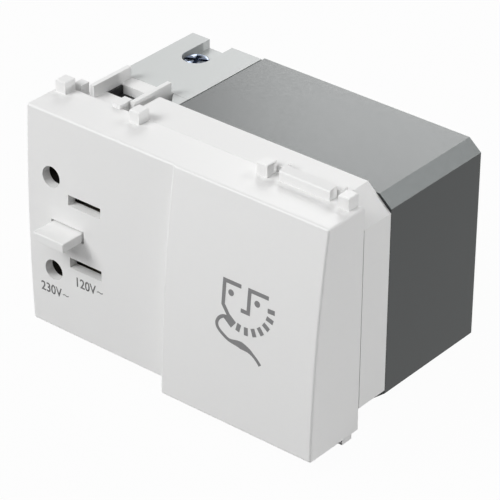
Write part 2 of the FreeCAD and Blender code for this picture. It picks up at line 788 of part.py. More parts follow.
def terminal(label, side):
    """Brass clamp with its wire bore, and the plated screw that presses on the wire."""
    half_clamp, half_depth = S.clamp_width / 2, S.clamp_depth / 2
    near, far = clamp_base * side, clamp_top * side
    low, high = (near, far) if side > 0 else (far, near)
    block = box("clamp_block_" + label,
                (-channel_column - half_clamp, channel_end - half_depth, low),
                (half_clamp - channel_column, channel_end + half_depth, high))
    bore = rod("clamp_bore_" + label, "Y", (-channel_column, channel_end - half_depth, wire_level * side),
               S.clamp_bore_radius, S.clamp_depth)
    thread_low = wire_level if side > 0 else -clamp_top
    thread = rod("clamp_thread_" + label, "Z", (-channel_column, channel_end, thread_low),
                 S.screw_radius + S.screw_play, clamp_top - wire_level)
    node(trimmed("clamp_" + label, block, bore, thread), "terminal_" + label)
    head_low = clamp_top + S.screw_lift
    screw_top = head_low + S.screw_head_height
    head_start = head_low if side > 0 else -screw_top
    head = rod("screw_head_" + label, "Z", (-channel_column, channel_end, head_start),
               S.screw_head_radius, S.screw_head_height)
    tip = wire_level + S.clamp_bore_radius / 2
    shank_low = tip if side > 0 else -head_low - OVERLAP
    shank = rod("screw_shank_" + label, "Z", (-channel_column, channel_end, shank_low),
                S.screw_radius, head_low + OVERLAP - tip)
    slot_low = screw_top - S.screw_slot_depth if side > 0 else -screw_top
    slot = box("screw_slot_" + label,
               (-channel_column - S.screw_head_radius, channel_end - S.screw_slot_width / 2, slot_low),
               (S.screw_head_radius - channel_column, channel_end + S.screw_slot_width / 2,
                slot_low + S.screw_slot_depth))
    screw = trimmed("screw_" + label, fused("screw_blank_" + label, head, shank), slot)
    node(screw, "terminal_screw_" + label)


def contact_block():
    """Insulating insert: rooms for the contacts and the guide of the plunger."""
    body = new_body("contact_block")
    extrude(body, "insert_block", "Y", block_front, block_rear,
            rectangle((block_left, -block_half), (block_right, block_half)))
    gap = S.block_play
    shoulder = extrude(body, "shoulder", "Z", block_half - OVERLAP, head_top - S.head_plate - gap,
                       rectangle((window_left + gap, frame_front + gap),
                                 (window_right - gap, window_end - gap)))
    catch_left = window_left + gap
    catch = extrude(body, "window_catch", "Z", head_top - S.head_plate - gap - OVERLAP, head_top - gap,
                    rectangle((catch_left, S.window_start + gap),
                              (catch_left + S.catch_width, window_end - gap)))
    mirror(body, "lower_shoulder", [shoulder, catch])
    play = S.contact_play
    for name, end, radius in (("sleeve_rooms", sleeve_rear + play, sleeve_radius + play),
                              ("pin_runs", block_rear - S.metal, S.pin_hole_radius + play)):
        extrude(body, name, "Y", block_front, end,
                *[circle((-pin_column, pin_level * side), radius) for side in (1, -1)], cut=True)
    half_room = S.blade_gap / 2 + S.metal + play
    extrude(body, "blade_rooms", "Y", block_front, blade_rear + S.metal + play,
            *[rectangle((blade_left - play, blade_level * side - half_room),
                        (blade_right + play, blade_level * side + half_room)) for side in (1, -1)], cut=True)
    half_tail, half_strip = S.tail_width / 2 + play, S.metal / 2 + play
    grooves, slits = [], []
    for side in (1, -1):
        groove_level = (pin_level + sleeve_radius - S.metal / 2) * side
        grooves.append(rectangle((-pin_column - half_tail, groove_level - half_strip),
                                 (half_tail - pin_column, groove_level + half_strip)))
        slits.append(rectangle((-blade_column - half_tail, blade_level * side - half_strip),
                               (half_tail - blade_column, blade_level * side + half_strip)))
    extrude(body, "sleeve_tail_grooves", "Y", block_front, block_rear, *grooves, cut=True)
    extrude(body, "blade_tail_slits", "Y", blade_rear, block_rear, *slits, cut=True)
    half_collar = S.collar_width / 2 + S.plunger_play
    half_rise = S.collar_height / 2 + S.plunger_play
    extrude(body, "plunger_room", "Y", block_front, spring_seat,
            rectangle((-plunger_column - half_collar, -half_rise), (half_collar - plunger_column, half_rise)),
            cut=True)
    extrude(body, "stem_guide", "Y", spring_seat, bridge_front,
            circle((-plunger_column, ZERO), S.stem_radius + S.stem_play), cut=True)
    half_bridge = S.bridge_width / 2 + S.plunger_play
    half_strap = S.bridge_height / 2 + S.plunger_play
    extrude(body, "bridge_room", "Y", bridge_front - S.plunger_play, block_rear,
            rectangle((-plunger_column - half_bridge, -half_strap),
                      (half_bridge - plunger_column, half_strap)), cut=True)
    return node(body, "contact_block")


def plunger():
    """White slab that a plug presses in, with its collar, stem and riveted tip."""
    body = new_body("plunger")
    front = -S.left_crown_depth - S.plunger_reach
    half_slab, half_rise = S.plunger_width / 2, S.plunger_height / 2
    extrude(body, "slab", "Y", front, collar_front + OVERLAP,
            rectangle((-plunger_column - half_slab, -half_rise - S.slab_drop),
                      (half_slab - plunger_column, half_rise - S.slab_drop)))
    half_collar, half_step = S.collar_width / 2, S.collar_height / 2
    extrude(body, "collar", "Y", collar_front, collar_rear,
            rectangle((-plunger_column - half_collar, -half_step), (half_collar - plunger_column, half_step)))
    centre = (-plunger_column, ZERO)
    extrude(body, "stem", "Y", collar_rear - OVERLAP, bridge_front, circle(centre, S.stem_radius))
    extrude(body, "tip", "Y", bridge_front - OVERLAP, bridge_rear + OVERLAP, circle(centre, S.tip_radius))
    extrude(body, "tip_head", "Y", bridge_rear, bridge_rear + S.tip_head_depth,
            circle(centre, S.tip_head_radius))

    def slab_edge(edge):
        return same(edge.BoundBox.YMin, front)

    round_edges(body, "slab_rounding", S.slab_round, slab_edge)
    return node(body, "plunger")


def plunger_spring():
    """Wire spring round the stem, between the collar and its seat in the insert."""
    coil = doc.addObject("Part::Helix", "spring_line")
    coil_length = spring_length - S.spring_wire
    bind(coil, "Radius", S.spring_radius)
    bind(coil, "Height", coil_length)
    coil.setExpression("Pitch", f"{coil_length.formula} / {S.spring_turns.formula}")
    wire = doc.addObject("Part::RegularPolygon", "spring_wire_section")
    wire.Polygon = 6
    bind(wire, "Circumradius", S.spring_wire / 2)
    wire.Placement = FreeCAD.Placement(FreeCAD.Vector(), FreeCAD.Rotation(FreeCAD.Vector(1, 0, 0), 90))
    bind(wire, "Placement.Base.x", S.spring_radius)
    doc.recompute()
    spring = doc.addObject("Part::Sweep", "spring_sweep")
    spring.Sections = [wire]
    spring.Spine = (coil, [f"Edge{index}" for index in range(1, len(coil.Shape.Edges) + 1)])
    spring.Solid = True
    spring.Frenet = True
    place(spring, (-plunger_column, collar_rear + spring_gap / 2 + S.spring_wire / 2, ZERO), "Y")
    return node(spring, "plunger_spring")


def contact_bridge():
    """Strip on the plunger's tip that joins the two fixed contacts."""
    half_strip, half_rise = S.bridge_width / 2, S.bridge_height / 2
    strip = box("bridge_strip", (-plunger_column - half_strip, bridge_front, -half_rise),
                (half_strip - plunger_column, bridge_rear, half_rise))
    hole = rod("bridge_hole", "Y", (-plunger_column, bridge_front, ZERO), S.tip_radius, S.bridge_depth)
    return node(trimmed("bridge", strip, hole), "contact_bridge")


def switch_contact(label, side):
    """Rivet through the frame's rear wall that the bridge closes on."""
    column = S.rivet_spacing / 2 * side - plunger_column
    head = rod("rivet_head_" + label, "Y", (column, rivet_face, ZERO),
               S.rivet_head_radius, S.rivet_head_depth)
    shank_start = rivet_face + S.rivet_head_depth / 2
    shank = rod("rivet_shank_" + label, "Y", (column, shank_start, ZERO),
                S.rivet_radius, tail_end - shank_start)
    return node(fused("rivet_" + label, head, shank), "switch_contact_" + label)


def pin_contact(label, side):
    """Split sleeve for a round pin, with a flat tail to the rear."""
    level = pin_level * side
    centre = (-pin_column, sleeve_front, level)
    sleeve = rod("sleeve_" + label, "Y", centre, sleeve_radius, S.sleeve_length)
    tail_level = (pin_level + sleeve_radius - S.metal / 2) * side
    tail = box("sleeve_tail_" + label,
               (-pin_column - S.tail_width / 2, sleeve_front, tail_level - S.metal / 2),
               (S.tail_width / 2 - pin_column, tail_end, tail_level + S.metal / 2))
    bore = rod("sleeve_bore_" + label, "Y", centre, S.pin_hole_radius, S.sleeve_length)
    slit_low = level - sleeve_radius if side > 0 else level
    slit = box("sleeve_slit_" + label,
               (-pin_column - S.sleeve_slit / 2, sleeve_front, slit_low),
               (S.sleeve_slit / 2 - pin_column, sleeve_rear, slit_low + sleeve_radius))
    blank = fused("sleeve_blank_" + label, sleeve, tail)
    return node(trimmed("pin_sleeve_" + label, blank, bore, slit), "pin_contact_" + label)


def blade_contact(label, side):
    """Folded twin leaf for a flat blade, with a flat tail to the rear."""
    level = blade_level * side
    reach = S.blade_gap / 2 + S.metal
    fold = box("leaf_fold_" + label, (blade_left, blade_front, level - reach),
               (blade_right, blade_rear + S.metal, level + reach))
    gap = box("leaf_gap_" + label, (blade_left, blade_front, level - S.blade_gap / 2),
              (blade_right, blade_rear, level + S.blade_gap / 2))
    tail = box("leaf_tail_" + label,
               (-blade_column - S.tail_width / 2, blade_rear + S.metal / 2, level - S.metal / 2),
               (S.tail_width / 2 - blade_column, tail_end, level + S.metal / 2))
    leaves = trimmed("leaf_pair_" + label, fold, gap)
    return node(fused("leaf_" + label, leaves, tail), "blade_contact_" + label)


def core():
    """Stacked laminations: the three-legged stack and the closing bar."""
    body = new_body("core_e")
    left, right = core_middle - core_half, core_middle + core_half
    extrude(body, "stack", "Y", core_front, core_rear, rectangle((left, -core_top), (right, window_half)))
    extrude(body, "coil_windows", "Y", core_front, core_rear,
            *[rectangle((start, -window_half), (start + core_leg, window_half))
              for start in (left + core_leg, core_middle + core_leg)], cut=True)
    node(body, "core_e")
    node(box("core_bar", (left, core_front, window_half), (right, core_rear, core_top)), "core_i")


tube_half = core_leg + former_build
tube_reach = core_stack / 2 + former_build
bobbin_half = window_half - S.bobbin_play


def ring_block(reach, low, high):
    """A block round the middle leg, as far out as reach from the bobbin's tube."""
    return ((core_middle - tube_half - reach, stack_middle - tube_reach - reach, low),
            (core_middle + tube_half + reach, stack_middle + tube_reach + reach, high))


def bobbin():
    """Split former with a wall between its two chambers."""
    tube = box("former_tube", *ring_block(ZERO, -bobbin_half, bobbin_half))
    flanges = []
    for name, low in (("low", -bobbin_half), ("middle", -S.bobbin_flange / 2),
                      ("high", bobbin_half - S.bobbin_flange)):
        flanges.append(box("former_flange_" + name, *ring_block(coil_build, low, low + S.bobbin_flange)))
    leg = box("former_bore", *ring_block(-S.bobbin_wall, -bobbin_half, bobbin_half))
    return node(trimmed("former", fused("former_blank", tube, *flanges), leg), "bobbin")


def winding(label, side):
    """One chamber's winding, and the tape wound over it."""
    near = S.bobbin_flange / 2 + S.winding_play
    far = bobbin_half - S.bobbin_flange - S.winding_play
    low, high = (near, far) if side > 0 else (-far, -near)
    inner, outer = S.winding_play, S.winding_play + winding_build
    tube = box(label + "_tube_space", *ring_block(inner, low, high))
    copper = rounded_block(label + "_copper", *ring_block(outer, low, high), S.winding_round)
    node(trimmed(label + "_coil", copper, tube), label + "_winding")
    wrap = rounded_block(label + "_wrap", *ring_block(coil_build, low, high), S.winding_round + S.tape)
    core_space = rounded_block(label + "_wrap_space", *ring_block(outer, low, high), S.winding_round)
    node(trimmed(label + "_tape_ring", wrap, core_space), label + "_tape")


def thermal_cutout():
    """Small protector that lies against the primary inside the core's window."""
    left = core_middle + tube_half + coil_build + S.winding_play
    level = -bobbin_half / 2
    half_depth, half_rise = S.cutout_depth / 2, S.cutout_height / 2
    block = rounded_block("protector", (left, stack_middle - half_depth, level - half_rise),
                          (left + S.cutout_width, stack_middle + half_depth, level + half_rise), S.metal)
    return node(block, "thermal_cutout")


front_cover()
mid_frame()
transformer_case()
terminal_housing()
contact_block()
plunger()
plunger_spring()
contact_bridge()
core()
bobbin()
thermal_cutout()
for place_name, direction in (("upper", 1), ("lower", -1)):
    terminal(place_name, direction)
    pin_contact(place_name, direction)
    blade_contact(place_name, direction)
for place_name, direction in (("left", -1), ("right", 1)):
    switch_contact(place_name, direction)
for place_name, direction in (("primary", -1), ("secondary", 1)):
    winding(place_name, direction)
doc.recompute()

for thing in doc.Objects:
    if "Invalid" in thing.State or "Error" in thing.State:
        raise RuntimeError(f"{thing.Name} failed: {thing.State}")
    base = getattr(thing, "BaseFeature", None)
    if base is not None and thing.isDerivedFrom("PartDesign::Feature"):
        if abs(thing.Shape.Volume - base.Shape.Volume) < 1e-6:
            raise RuntimeError(f"{thing.Name} changes nothing")
for thing in nodes:
    if thing.Shape.isNull() or not thing.Shape.isValid() or len(thing.Shape.Solids) != 1:
        raise RuntimeError(f"{thing.Label} isn't one sound solid")

os.makedirs("parts", exist_ok=True)
for thing in nodes:
    thing.Shape.exportStep(f"parts/{thing.Label}.step")
    print(f"{thing.Label}: {thing.Shape.Volume:.1f} cubic mm")
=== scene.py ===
import math

import bmesh
import bpy
from bpy.props import FloatProperty, FloatVectorProperty, PointerProperty
from mathutils import Matrix, Vector
from mathutils.geometry import interpolate_bezier


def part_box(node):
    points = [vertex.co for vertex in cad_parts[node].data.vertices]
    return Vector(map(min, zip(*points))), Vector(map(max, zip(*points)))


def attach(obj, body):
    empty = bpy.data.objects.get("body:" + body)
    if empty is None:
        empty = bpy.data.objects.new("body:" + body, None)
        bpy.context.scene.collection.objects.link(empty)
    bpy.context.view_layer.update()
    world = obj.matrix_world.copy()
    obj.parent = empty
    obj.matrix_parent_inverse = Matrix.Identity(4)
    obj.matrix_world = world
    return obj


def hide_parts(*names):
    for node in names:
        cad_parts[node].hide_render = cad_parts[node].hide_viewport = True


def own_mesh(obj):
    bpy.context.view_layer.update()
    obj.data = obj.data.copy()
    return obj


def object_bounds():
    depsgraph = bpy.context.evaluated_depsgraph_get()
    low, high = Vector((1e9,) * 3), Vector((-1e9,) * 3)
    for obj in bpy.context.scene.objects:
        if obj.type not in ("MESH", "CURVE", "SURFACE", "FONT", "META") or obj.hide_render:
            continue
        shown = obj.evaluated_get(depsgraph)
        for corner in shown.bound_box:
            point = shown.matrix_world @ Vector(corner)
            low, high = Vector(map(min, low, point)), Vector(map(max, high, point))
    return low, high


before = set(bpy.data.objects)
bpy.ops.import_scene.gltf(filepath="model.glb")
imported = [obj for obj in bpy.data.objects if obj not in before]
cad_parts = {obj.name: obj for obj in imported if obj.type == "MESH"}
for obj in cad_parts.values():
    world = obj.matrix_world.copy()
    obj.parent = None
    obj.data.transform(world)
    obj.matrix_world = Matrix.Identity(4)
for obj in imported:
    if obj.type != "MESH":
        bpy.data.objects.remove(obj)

bl_info = {
    "name": "Shaver socket finish",
    "version": (1, 0, 0),
    "blender": (4, 5, 0),
    "location": "3D View > Sidebar > Shaver socket",
    "description": "Finishes, printed marks, clamp screws and studio stage for a flush shaver socket",
    "category": "Object",
}

MM = 0.001
CAD_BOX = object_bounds()

# Body of the part that stays still in the wall
HOUSING = "housing"

# Longest span of a printed line, short enough to follow the bowed cover
SPAN = 0.5 * MM

# Range in which most of a noise lies
NOISE_LOW, NOISE_HIGH = 0.3, 0.7

# How far roughness drifts to either side of its level
PLASTIC_DRIFT, METAL_DRIFT = 0.02, 0.05

# Place of each soft box, from the middle of the part, and the length of its side, in metres
SOFT_BOXES = {
    "key": ((-0.341, -0.517, 0.507), 0.4),
    "crown": ((0.2, -0.45, 0.62), 0.4),
    "side": ((0.74, 0.3, 0.004), 0.04),
    "rear_left": ((-0.312, 0.611, 0.412), 0.4),
    "glare": ((-0.352, 0.62, 0.364), 0.24),
    "rear_right": ((0.353, 0.532, 0.481), 0.24),
}


# Sizes and colours that a user would change

def colour(name, description, default):
    """A colour that a user can pick."""
    return FloatVectorProperty(name=name, description=description, subtype="COLOR", size=3, min=0.0, max=1.0,
                               default=default)


def length(name, description, default):
    """A length in metres that a user can set."""
    return FloatProperty(name=name, description=description, subtype="DISTANCE", unit="LENGTH", min=0.0,
                         default=default, precision=5)


def power(name, description, default):
    """A lamp's power in watts that a user can set."""
    return FloatProperty(name=name, description=description, unit="POWER", min=0.0, default=default)


class SocketFinish(bpy.types.PropertyGroup):
    """Colours of the mouldings and metals."""
    cover: colour("Cover", "White of the cover and the plunger", (0.85, 0.85, 0.846))
    inner_frame: colour("Frame", "White of the frame behind the cover", (0.85, 0.85, 0.846))
    case: colour("Case", "Grey of the transformer case", (0.031, 0.033, 0.033))
    housing: colour("Housing", "Light grey of the terminal housing", (0.56, 0.58, 0.575))
    insert: colour("Insert", "Dark insert that carries the contacts", (0.012, 0.012, 0.013))
    # Blue tint of the plated screws, painted darker: the darkness is painted shade for the dark well that
    # the heads reflect
    zinc: colour("Zinc", "Plated clamp screws", (0.17, 0.2, 0.26))
    brass: colour("Brass", "Contacts and clamps", (0.62, 0.42, 0.14))
    spring: colour("Spring", "Wire of the plunger's spring", (0.5, 0.5, 0.5))
    core: colour("Core", "Sheets of the transformer's core", (0.16, 0.17, 0.18))
    former: colour("Former", "Former that carries the windings", (0.60, 0.58, 0.50))
    copper: colour("Copper", "Enamelled windings", (0.45, 0.13, 0.04))
    tape: colour("Tape", "Film wrapped round the windings", (0.62, 0.44, 0.05))
    protector: colour("Protector", "Thermal cut-out", (0.02, 0.02, 0.022))
    ink: colour("Ink", "Printed marks", (0.215, 0.215, 0.218))


class SocketMarks(bpy.types.PropertyGroup):
    """Sizes of the printed marks."""
    figure_height: length("Figure height", "Height of the voltage figures", 1.95 * MM)
    figure_weight: length("Figure weight", "How much the figures' lines are thickened", 0.025 * MM)
    wave_width: length("Wave width", "Width of the alternating-current wave", 0.16 * MM)
    ink_rise: length("Ink rise", "How far the ink stands off the cover", 0.03 * MM)
    ink_sink: length("Ink sink", "How far the ink goes into the cover", 0.05 * MM)
    stroke: length("Stroke", "Width of the sign's lines", 0.74 * MM)
    eye_radius: length("Eye", "Radius of the sign's eyes", 0.6 * MM)
    dash_width: length("Dash width", "Width of the sign's stubble dashes", 0.85 * MM)
    dash_length: length("Dash length", "Length of the sign's stubble dashes", 1.5 * MM)


class SocketStage(bpy.types.PropertyGroup):
    """Levels of the studio light."""
    sky: FloatProperty(name="Sky", description="Level of the even light all round", min=0.0, default=0.035)
    key: power("Key", "Soft box in front, to the left", 4.85)
    crown: power("Crown", "Soft box in front, high up to the right", 1.25)
    side: power("Side", "Small soft box low on the right, behind", 1.9)
    rear_left: power("Rear left", "Soft box behind, to the left, that shines on the tops", 0.72)
    glare: power("Glare", "Smaller soft box beside it, for the sheen of the case", 0.60)
    rear_right: power("Rear right", "Soft box behind, to the right, that shines on the bevels", 1.3)


# Shader node groups that several finishes share

def new_group(name, inputs, outputs):
    """An empty node group with named sockets, and its two end nodes."""
    group = bpy.data.node_groups.new(name, "ShaderNodeTree")
    for socket_name, default in inputs:
        socket = group.interface.new_socket(socket_name, in_out="INPUT", socket_type="NodeSocketFloat")
        socket.default_value = default
    for socket_name in outputs:
        group.interface.new_socket(socket_name, in_out="OUTPUT", socket_type="NodeSocketFloat")
    return group, group.nodes.new("NodeGroupInput"), group.nodes.new("NodeGroupOutput")


def moulded_grain():
    """Fine grain of moulded plastic, and a faint mottle of its shade and gloss."""
    name = "moulded_grain"
    if name in bpy.data.node_groups:
        return bpy.data.node_groups[name]
    inputs = (("Grain per mm", 6.0), ("Mottle per mm", 1.5))
    group, start, end = new_group(name, inputs, ("Height", "Mottle"))
    nodes, links = group.nodes, group.links
    place = nodes.new("ShaderNodeTexCoord")
    millimetres = nodes.new("ShaderNodeVectorMath")
    millimetres.operation = "SCALE"
    millimetres.inputs["Scale"].default_value = 1 / MM
    links.new(place.outputs["Object"], millimetres.inputs[0])
    for socket, target, detail in (("Grain per mm", "Height", 3.0), ("Mottle per mm", "Mottle", 2.0)):
        noise = nodes.new("ShaderNodeTexNoise")
        noise.inputs["Detail"].default_value = detail
        links.new(millimetres.outputs["Vector"], noise.inputs["Vector"])
        links.new(start.outputs[socket], noise.inputs["Scale"])
        links.new(noise.outputs["Fac"], end.inputs[target])
    return group


def drawn_streaks():
    """Fine streaks of rolled or drawn metal, along one axis."""
    name = "drawn_streaks"
    if name in bpy.data.node_groups:
        return bpy.data.node_groups[name]
    group, start, end = new_group(name, (("Streaks per mm", 8.0),), ("Height", "Tone"))
    nodes, links = group.nodes, group.links
    along = 0.06
    place = nodes.new("ShaderNodeTexCoord")
    stretch = nodes.new("ShaderNodeMapping")
    stretch.inputs["Scale"].default_value = (1 / MM, along / MM, 1 / MM)
    noise = nodes.new("ShaderNodeTexNoise")
    noise.inputs["Detail"].default_value = 4.0
    links.new(place.outputs["Object"], stretch.inputs["Vector"])
    links.new(stretch.outputs["Vector"], noise.inputs["Vector"])
    links.new(start.outputs["Streaks per mm"], noise.inputs["Scale"])
    links.new(noise.outputs["Fac"], end.inputs["Height"])
    links.new(noise.outputs["Fac"], end.inputs["Tone"])
    return group


# Materials

def blank_material(name):
    """A material with a Principled shader and nothing else."""
    material = bpy.data.materials.new(name)
    material.use_nodes = True
    return material, material.node_tree.nodes, material.node_tree.links


def spread(nodes, links, factor, middle, drift):
    """A value that drifts to either side of its middle, led by a noise."""
    ramp = nodes.new("ShaderNodeMapRange")
    ramp.inputs["From Min"].default_value = NOISE_LOW
    ramp.inputs["From Max"].default_value = NOISE_HIGH
    ramp.inputs["To Min"].default_value = middle - drift
    ramp.inputs["To Max"].default_value = middle + drift
    links.new(factor, ramp.inputs["Value"])
    return ramp.outputs["Result"]


def tinted(nodes, links, factor, base, contrast):
    """A colour that drifts a little to either side of its base."""
    mix = nodes.new("ShaderNodeMix")
    mix.data_type = "RGBA"
    mix.inputs["A"].default_value = (*(level * (1 - contrast) for level in base), 1)
    mix.inputs["B"].default_value = (*(min(level * (1 + contrast), 1) for level in base), 1)
    links.new(factor, mix.inputs["Factor"])
    return mix.outputs["Result"]


def bumped(nodes, links, height, distance):
    """A normal from a height, in metres of relief."""
    bump = nodes.new("ShaderNodeBump")
    bump.inputs["Distance"].default_value = distance
    bump.inputs["Strength"].default_value = 0.5
    links.new(height, bump.inputs["Height"])
    return bump.outputs["Normal"]


def moulded(name, base, roughness, relief=0.006 * MM, grain=6.0, contrast=0.008, gloss=0.5,
            sheen_tint=(1, 1, 1)):
    """Moulded plastic."""
    material, nodes, links = blank_material(name)
    shader = nodes["Principled BSDF"]
    grain_node = nodes.new("ShaderNodeGroup")
    grain_node.node_tree = moulded_grain()
    grain_node.inputs["Grain per mm"].default_value = grain
    shader.inputs["Specular IOR Level"].default_value = gloss
    shader.inputs["Specular Tint"].default_value = (*sheen_tint, 1)
    mottle = grain_node.outputs["Mottle"]
    links.new(tinted(nodes, links, mottle, base, contrast), shader.inputs["Base Color"])
    links.new(spread(nodes, links, mottle, roughness, PLASTIC_DRIFT), shader.inputs["Roughness"])
    links.new(bumped(nodes, links, grain_node.outputs["Height"], relief), shader.inputs["Normal"])
    return material


def metal(name, base, roughness, streaks=8.0, relief=0.004 * MM, contrast=0.08):
    """Rolled, drawn or plated metal."""
    material, nodes, links = blank_material(name)
    shader = nodes["Principled BSDF"]
    streak_node = nodes.new("ShaderNodeGroup")
    streak_node.node_tree = drawn_streaks()
    streak_node.inputs["Streaks per mm"].default_value = streaks
    shader.inputs["Metallic"].default_value = 1.0
    tone = streak_node.outputs["Tone"]
    links.new(tinted(nodes, links, tone, base, contrast), shader.inputs["Base Color"])
    links.new(spread(nodes, links, tone, roughness, METAL_DRIFT), shader.inputs["Roughness"])
    links.new(bumped(nodes, links, streak_node.outputs["Height"], relief), shader.inputs["Normal"])
    return material


def dress(material, *node_names):
    """Give CAD nodes their finish."""
    for name in node_names:
        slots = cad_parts[name].data.materials
        slots.clear()
        slots.append(material)


# Pieces, and the flat shapes that are printed on the cover's front

def new_piece(name, mesh, material):
    """A mesh as a piece that rides on the housing."""
    piece = bpy.data.objects.new(name, mesh)
    bpy.context.scene.collection.objects.link(piece)
    mesh.materials.clear()
    mesh.materials.append(material)
    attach(piece, HOUSING)
    return piece


def mesh_of(name, shape):
    """A mesh that takes over a shape."""
    mesh = bpy.data.meshes.new(name)
    shape.to_mesh(mesh)
    shape.free()
    return mesh


def front_depth(across, up):
    """Where the cover's front lies at a place, seen from the room."""
    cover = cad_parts["front_cover"]
    room = Vector((across, CAD_BOX[0][1] - 10 * MM, up))
    hit, point, _normal, _face = cover.ray_cast(room, Vector((0, 1, 0)))
    if not hit:
        raise RuntimeError(f"No cover in front at {across}, {up}")
    return point.y


def printed(name, shape, material):
    """A flat shape, drawn in X and Z, as a thin layer of ink on the cover."""
    marks = bpy.context.scene.socket_marks
    for vert in shape.verts:
        vert.co.y = front_depth(vert.co.x, vert.co.z) - marks.ink_rise
    bmesh.ops.recalc_face_normals(shape, faces=shape.faces)
    grown = bmesh.ops.extrude_face_region(shape, geom=shape.faces[:])
    for item in grown["geom"]:
        if isinstance(item, bmesh.types.BMVert):
            item.co.y += marks.ink_rise + marks.ink_sink
    bmesh.ops.recalc_face_normals(shape, faces=shape.faces)
    return new_piece(name, mesh_of(name, shape), material)


def band(shape, path, widths):
    """A flat band along a path in X and Z, mitred at its corners and cut into short spans."""
    sharpest = 0.4
    corners = [Vector(point) for point in path]
    points, spans = corners[:1], widths[:1]
    for (start, end), width in zip(zip(corners, corners[1:]), widths[1:]):
        count = max(1, math.ceil((end - start).length / SPAN))
        points.extend(start.lerp(end, step / count) for step in range(1, count + 1))
        before = spans[-1]
        spans.extend(before + (width - before) * step / count for step in range(1, count + 1))
    sides = []
    for index, point in enumerate(points):
        before = (point - points[index - 1]).normalized() if index else None
        after = (points[index + 1] - point).normalized() if index + 1 < len(points) else None
        along = ((before or after) + (after or before)).normalized()
        across = Vector((-along.y, along.x))
        stretch = 1 / max(along.dot(after or before), sharpest)
        half = spans[index] / 2 * stretch
        edges = (point - across * half, point + across * half)
        sides.append([shape.verts.new((place.x, 0, place.y)) for place in edges])
    for (low, high), (next_low, next_high) in zip(sides, sides[1:]):
        shape.faces.new((low, next_low, next_high, high))


def disc(shape, centre, radius, segments=24):
    """A flat disc in X and Z."""
    ring = [shape.verts.new((centre[0] + radius * math.cos(turn), 0, centre[1] + radius * math.sin(turn)))
            for turn in (2 * math.pi * step / segments for step in range(segments))]
    shape.faces.new(ring)


def curve_through(knots, steps=14):
    """Points along a smooth run of Bezier arcs; each knot is a place and the way it heads."""
    points = []
    for (start, heading), (end, arrival) in zip(knots, knots[1:]):
        start, end = Vector(start).to_3d(), Vector(end).to_3d()
        reach = (end - start).length / 3
        start_handle = start + Vector(heading).to_3d().normalized() * reach
        end_handle = end - Vector(arrival).to_3d().normalized() * reach
        arc = interpolate_bezier(start, start_handle, end_handle, end, steps)
        points.extend(arc if not points else arc[1:])
    return [point.to_2d() for point in points]


def figures(words, left, top, height):
    """A word's flat shape in X and Z, its top left corner at a place, and its right end."""
    capital_share, spacing, narrow = 0.72, 1.02, 0.86
    font = bpy.data.curves.new("figures", "FONT")
    font.body = words
    font.size = height / capital_share
    font.offset = bpy.context.scene.socket_marks.figure_weight
    font.space_character = spacing
    holder = bpy.data.objects.new("figures", font)
    bpy.context.scene.collection.objects.link(holder)
    bpy.context.view_layer.update()
    flat = bpy.data.meshes.new_from_object(holder.evaluated_get(bpy.context.evaluated_depsgraph_get()))
    bpy.data.objects.remove(holder)
    shape = bmesh.new()
    shape.from_mesh(flat)
    low_x = min(vert.co.x for vert in shape.verts)
    high_y = max(vert.co.y for vert in shape.verts)
    for vert in shape.verts:
        vert.co = Vector((left + (vert.co.x - low_x) * narrow, 0, top + vert.co.y - high_y))
    return shape, max(vert.co.x for vert in shape.verts)


def draw_wave(shape, left, level, width):
    """The wave that stands for alternating current, from its left end."""
    wave_length, lean = 1.3 * MM, 0.1 * MM
    rising, falling = (1, 1.2), (1, -0.9)
    path = curve_through([((left, level - lean), rising),
                          ((left + wave_length / 2, level), falling),
                          ((left + wave_length, level + lean), rising)])
    band(shape, path, [width] * len(path))


def draw_face(shape, marks):
    """The sign's face: two brows, one running to the chin and one to the nose, two eyes and stubble."""
    brow, eye_level = 5.75 * MM, 3.85 * MM
    cheek, cheek_foot, left_end = 13.42 * MM, 1.2 * MM, 17.0 * MM
    nose, nose_foot, right_end = 18.85 * MM, 1.42 * MM, 22.9 * MM
    chin, nose_tip = (14.6 * MM, -0.35 * MM), (17.25 * MM, 1.42 * MM)
    eyes = (14.95 * MM, 20.6 * MM)
    middle, reach = Vector((18.2 * MM, 3.3 * MM)), 5.43 * MM
    dashes, first_turn, turn_step = 7, -103.2, 17.6
    for run in ([(left_end, brow), (cheek, brow), (cheek, cheek_foot), chin],
                [(right_end, brow), (nose, brow), (nose, nose_foot), nose_tip]):
        band(shape, run, [marks.stroke] * len(run))
    for across in eyes:
        disc(shape, (across, eye_level), marks.eye_radius)
    for step in range(dashes):
        turn = math.radians(first_turn + turn_step * step)
        ray = Vector((math.cos(turn), math.sin(turn)))
        centre = middle + ray * reach
        half = ray * marks.dash_length / 2
        band(shape, [centre - half, centre + half], [marks.dash_width] * 2)


def draw_shaver(shape, marks):
    """The sign's shaver: its head at the chin, and one line that loops back and swells to a handle."""
    head, head_width = [(14.2 * MM, -0.65 * MM), (15.9 * MM, -1.95 * MM)], 1.65 * MM
    knots = [((14.2 * MM, -0.95 * MM), (-1, 0.05)), ((12.3 * MM, -2.8 * MM), (0, -1)),
             ((14.6 * MM, -4.9 * MM), (1, -0.5)), ((17.6 * MM, -5.1 * MM), (1, -0.15)),
             ((20.0 * MM, -5.75 * MM), (1, -0.6)), ((22.0 * MM, -7.4 * MM), (1, -1.3))]
    thin, thick = marks.stroke * 0.85, marks.stroke * 1.95
    handle_middle, handle_reach, handle_top = 17.8 * MM, 2.6 * MM, -4.4 * MM
    band(shape, head, [head_width] * 2)
    line = curve_through(knots)
    widths = []
    for point in line:
        swell = max(0.0, 1 - abs(point.x - handle_middle) / handle_reach) if point.y < handle_top else 0.0
        widths.append(thin + (thick - thin) * swell)
    band(shape, line, widths)


# Clamp screws

